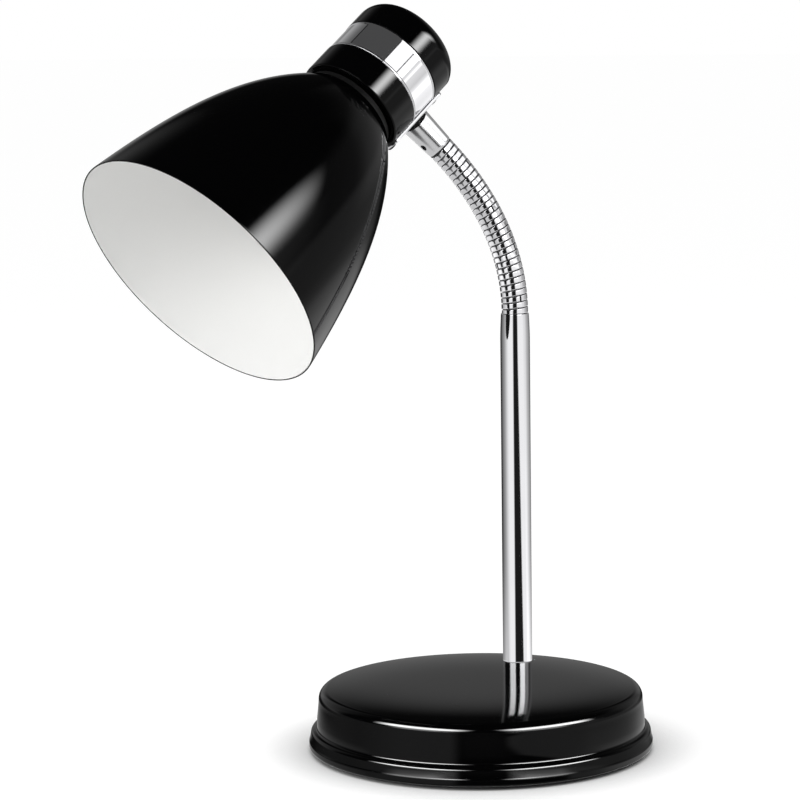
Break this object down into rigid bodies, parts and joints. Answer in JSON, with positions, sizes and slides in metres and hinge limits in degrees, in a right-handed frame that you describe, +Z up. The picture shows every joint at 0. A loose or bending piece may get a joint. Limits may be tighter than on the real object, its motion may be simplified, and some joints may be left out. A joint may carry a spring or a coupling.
{
  "type": "gooseneck desk lamp",
  "caption": "Small desk lamp with a bell shade on a chrome gooseneck and stem, and a weighted round base.",
  "frame": {"origin": "centre of the underside of the round base, on the table", "axes": "+Z up; -Y to the front, with the stem at the back; +X to the right as seen from the front"},
  "size_m": [0.2242, 0.1789, 0.3102],
  "materials": {
    "black_enamel": "gloss",
    "white_enamel": "satin",
    "chrome": "polished",
    "zinc_steel": "plated",
    "dark_steel": "blackened",
    "iron": "as cast",
    "brass": "bright",
    "black_plastic": "satin",
    "gloss_plastic": "gloss",
    "ivory_plastic": "satin",
    "lead_sheath": "matt",
    "foam": "matt"
  },
  "bodies": {
    "base": {"base_pad": "foam", "bottom_plate": "dark_steel", "base_screws": "zinc_steel", "base_weight": "iron", "base_cover": "black_enamel", "cord_bush": "black_plastic", "terminal_block": "ivory_plastic", "stem_insert": "zinc_steel", "stem_nipple": "brass", "stem_washer": "zinc_steel", "stem_nut": "brass", "stem_tube": "chrome", "neck_plug": "zinc_steel", "stem_lead": "lead_sheath"},
    "neck_01": {"neck_coil_01": "chrome"},
    "neck_02": {"neck_coil_02": "chrome"},
    "neck_03": {"neck_coil_03": "chrome"},
    "neck_04": {"neck_coil_04": "chrome"},
    "neck_05": {"neck_coil_05": "chrome"},
    "neck_06": {"neck_coil_06": "chrome"},
    "neck_07": {"neck_coil_07": "chrome"},
    "neck_08": {"neck_coil_08": "chrome"},
    "neck_09": {"neck_coil_09": "chrome"},
    "neck_10": {"neck_coil_10": "chrome"},
    "neck_11": {"neck_coil_11": "chrome"},
    "neck_12": {"neck_coil_12": "chrome"},
    "neck_13": {"neck_coil_13": "chrome"},
    "neck_14": {"neck_coil_14": "chrome"},
    "neck_15": {"neck_coil_15": "chrome"},
    "neck_16": {"neck_coil_16": "chrome"},
    "neck_17": {"neck_coil_17": "chrome"},
    "neck_18": {"neck_coil_18": "chrome"},
    "neck_19": {"neck_coil_19": "chrome"},
    "neck_20": {"neck_coil_20": "chrome"},
    "neck_21": {"neck_coil_21": "chrome"},
    "neck_22": {"neck_coil_22": "chrome"},
    "neck_23": {"neck_coil_23": "chrome"},
    "neck_24": {"neck_coil_24": "chrome"},
    "neck_25": {"neck_coil_25": "chrome"},
    "neck_26": {"neck_coil_26": "chrome", "ferrule": "chrome", "ferrule_screw": "dark_steel"},
    "head": {"head_plate": "chrome", "plate_screws": "dark_steel", "swivel_bush": "black_plastic", "swivel_nipple": "brass", "swivel_nut": "brass", "head_lead": "lead_sheath", "collar": "black_enamel", "chrome_band": "chrome", "cap": "black_enamel", "lampholder": "black_plastic", "screw_shell": "brass", "centre_contact": "brass", "shade_ring": "black_plastic", "shade": "black_enamel", "switch_body": "black_plastic", "switch_nut": "chrome", "switch_spring": "zinc_steel"},
    "button": {"switch_button": "gloss_plastic"}
  },
  "joints": [
    {"name": "neck_bend", "type": "hinge", "parent": "base", "child": "neck_01", "pos_m": [0, 0.0485, 0.1785], "axis": [0.4571, -0.8894, 0], "range_deg": [-6.95, 3.05]},
    {"name": "neck_sway", "type": "hinge", "parent": "neck_01", "child": "neck_02", "pos_m": [-0.00005, 0.04847, 0.18156], "axis": [-0.8888, -0.4568, -0.0375], "range_deg": [-3, 3]},
    {"name": "neck_bend_02", "type": "hinge", "parent": "neck_02", "child": "neck_03", "pos_m": [-0.0002, 0.0484, 0.18462], "axis": [0.4571, -0.8894, 0], "range_deg": [-6.95, 3.05]},
    {"name": "neck_sway_02", "type": "hinge", "parent": "neck_03", "child": "neck_04", "pos_m": [-0.00046, 0.04827, 0.18767], "axis": [-0.884, -0.4543, -0.1102], "range_deg": [-3, 3]},
    {"name": "neck_bend_03", "type": "hinge", "parent": "neck_04", "child": "neck_05", "pos_m": [-0.0008, 0.04809, 0.1907], "axis": [0.4571, -0.8894, 0], "range_deg": [-6.95, 3.05]},
    {"name": "neck_sway_03", "type": "hinge", "parent": "neck_05", "child": "neck_06", "pos_m": [-0.00125, 0.04786, 0.19372], "axis": [-0.8749, -0.4496, -0.1798], "range_deg": [-3, 3]},
    {"name": "neck_bend_04", "type": "hinge", "parent": "neck_06", "child": "neck_07", "pos_m": [-0.00178, 0.04758, 0.19672], "axis": [0.4571, -0.8894, 0], "range_deg": [-6.95, 3.05]},
    {"name": "neck_sway_04", "type": "hinge", "parent": "neck_07", "child": "neck_08", "pos_m": [-0.00241, 0.04726, 0.1997], "axis": [-0.8621, -0.4431, -0.2459], "range_deg": [-3, 3]},
    {"name": "neck_bend_05", "type": "hinge", "parent": "neck_08", "child": "neck_09", "pos_m": [-0.00312, 0.0469, 0.20266], "axis": [0.4571, -0.8894, 0], "range_deg": [-6.95, 3.05]},
    {"name": "neck_sway_05", "type": "hinge", "parent": "neck_09", "child": "neck_10", "pos_m": [-0.00392, 0.04649, 0.20559], "axis": [-0.8461, -0.4348, -0.3084], "range_deg": [-3, 3]},
    {"name": "neck_bend_06", "type": "hinge", "parent": "neck_10", "child": "neck_11", "pos_m": [-0.0048, 0.04603, 0.20848], "axis": [0.4571, -0.8894, 0], "range_deg": [-6.95, 3.05]},
    {"name": "neck_sway_06", "type": "hinge", "parent": "neck_11", "child": "neck_12", "pos_m": [-0.00576, 0.04554, 0.21135], "axis": [-0.8273, -0.4252, -0.3671], "range_deg": [-3, 3]},
    {"name": "neck_bend_07", "type": "hinge", "parent": "neck_12", "child": "neck_13", "pos_m": [-0.0068, 0.04501, 0.21418], "axis": [0.4571, -0.8894, 0], "range_deg": [-6.95, 3.05]},
    {"name": "neck_sway_07", "type": "hinge", "parent": "neck_13", "child": "neck_14", "pos_m": [-0.00791, 0.04444, 0.21697], "axis": [-0.8064, -0.4144, -0.422], "range_deg": [-3, 3]},
    {"name": "neck_bend_08", "type": "hinge", "parent": "neck_14", "child": "neck_15", "pos_m": [-0.00909, 0.04383, 0.21973], "axis": [0.4571, -0.8894, 0], "range_deg": [-6.95, 3.05]},
    {"name": "neck_sway_08", "type": "hinge", "parent": "neck_15", "child": "neck_16", "pos_m": [-0.01035, 0.04318, 0.22245], "axis": [-0.7836, -0.4027, -0.473], "range_deg": [-3, 3]},
    {"name": "neck_bend_09", "type": "hinge", "parent": "neck_16", "child": "neck_17", "pos_m": [-0.01167, 0.0425, 0.22512], "axis": [0.4571, -0.8894, 0], "range_deg": [-6.95, 3.05]},
    {"name": "neck_sway_09", "type": "hinge", "parent": "neck_17", "child": "neck_18", "pos_m": [-0.01306, 0.04179, 0.22776], "axis": [-0.7596, -0.3904, -0.5202], "range_deg": [-3, 3]},
    {"name": "neck_bend_10", "type": "hinge", "parent": "neck_18", "child": "neck_19", "pos_m": [-0.0145, 0.04105, 0.23035], "axis": [0.4571, -0.8894, 0], "range_deg": [-6.95, 3.05]},
    {"name": "neck_sway_10", "type": "hinge", "parent": "neck_19", "child": "neck_20", "pos_m": [-0.01601, 0.04027, 0.2329], "axis": [-0.7346, -0.3775, -0.5637], "range_deg": [-3, 3]},
    {"name": "neck_bend_11", "type": "hinge", "parent": "neck_20", "child": "neck_21", "pos_m": [-0.01757, 0.03947, 0.23541], "axis": [0.4571, -0.8894, 0], "range_deg": [-6.95, 3.05]},
    {"name": "neck_sway_11", "type": "hinge", "parent": "neck_21", "child": "neck_22", "pos_m": [-0.01919, 0.03864, 0.23787], "axis": [-0.7091, -0.3644, -0.6036], "range_deg": [-3, 3]},
    {"name": "neck_bend_12", "type": "hinge", "parent": "neck_22", "child": "neck_23", "pos_m": [-0.02086, 0.03778, 0.24029], "axis": [0.4571, -0.8894, 0], "range_deg": [-6.95, 3.05]},
    {"name": "neck_sway_12", "type": "hinge", "parent": "neck_23", "child": "neck_24", "pos_m": [-0.02258, 0.0369, 0.24267], "axis": [-0.6834, -0.3512, -0.64], "range_deg": [-3, 3]},
    {"name": "neck_bend_13", "type": "hinge", "parent": "neck_24", "child": "neck_25", "pos_m": [-0.02434, 0.03599, 0.245], "axis": [0.4571, -0.8894, 0], "range_deg": [-6.95, 3.05]},
    {"name": "neck_sway_13", "type": "hinge", "parent": "neck_25", "child": "neck_26", "pos_m": [-0.02615, 0.03506, 0.24728], "axis": [-0.6578, -0.3381, -0.673], "range_deg": [-3, 3]},
    {"name": "head_swivel", "type": "hinge", "parent": "neck_26", "child": "head", "pos_m": [-0.03759, 0.02918, 0.26088], "axis": [-0.6122, -0.3146, 0.7254], "range_deg": [-90, 90]},
    {"name": "switch_push", "type": "slide", "parent": "head", "child": "button", "axis": [-0.3637, -0.7026, -0.6117], "range_m": [0, 0.002], "stiffness_N_per_m": 400, "springref_m": -0.0015}
  ],
  "couplings": [
    {"joint": "neck_bend_02", "follows": "neck_bend", "ratio": 1},
    {"joint": "neck_sway_02", "follows": "neck_sway", "ratio": 1},
    {"joint": "neck_bend_03", "follows": "neck_bend", "ratio": 1},
    {"joint": "neck_sway_03", "follows": "neck_sway", "ratio": 1},
    {"joint": "neck_bend_04", "follows": "neck_bend", "ratio": 1},
    {"joint": "neck_sway_04", "follows": "neck_sway", "ratio": 1},
    {"joint": "neck_bend_05", "follows": "neck_bend", "ratio": 1},
    {"joint": "neck_sway_05", "follows": "neck_sway", "ratio": 1},
    {"joint": "neck_bend_06", "follows": "neck_bend", "ratio": 1},
    {"joint": "neck_sway_06", "follows": "neck_sway", "ratio": 1},
    {"joint": "neck_bend_07", "follows": "neck_bend", "ratio": 1},
    {"joint": "neck_sway_07", "follows": "neck_sway", "ratio": 1},
    {"joint": "neck_bend_08", "follows": "neck_bend", "ratio": 1},
    {"joint": "neck_sway_08", "follows": "neck_sway", "ratio": 1},
    {"joint": "neck_bend_09", "follows": "neck_bend", "ratio": 1},
    {"joint": "neck_sway_09", "follows": "neck_sway", "ratio": 1},
    {"joint": "neck_bend_10", "follows": "neck_bend", "ratio": 1},
    {"joint": "neck_sway_10", "follows": "neck_sway", "ratio": 1},
    {"joint": "neck_bend_11", "follows": "neck_bend", "ratio": 1},
    {"joint": "neck_sway_11", "follows": "neck_sway", "ratio": 1},
    {"joint": "neck_bend_12", "follows": "neck_bend", "ratio": 1},
    {"joint": "neck_sway_12", "follows": "neck_sway", "ratio": 1},
    {"joint": "neck_bend_13", "follows": "neck_bend", "ratio": 1},
    {"joint": "neck_sway_13", "follows": "neck_sway", "ratio": 1}
  ]
}
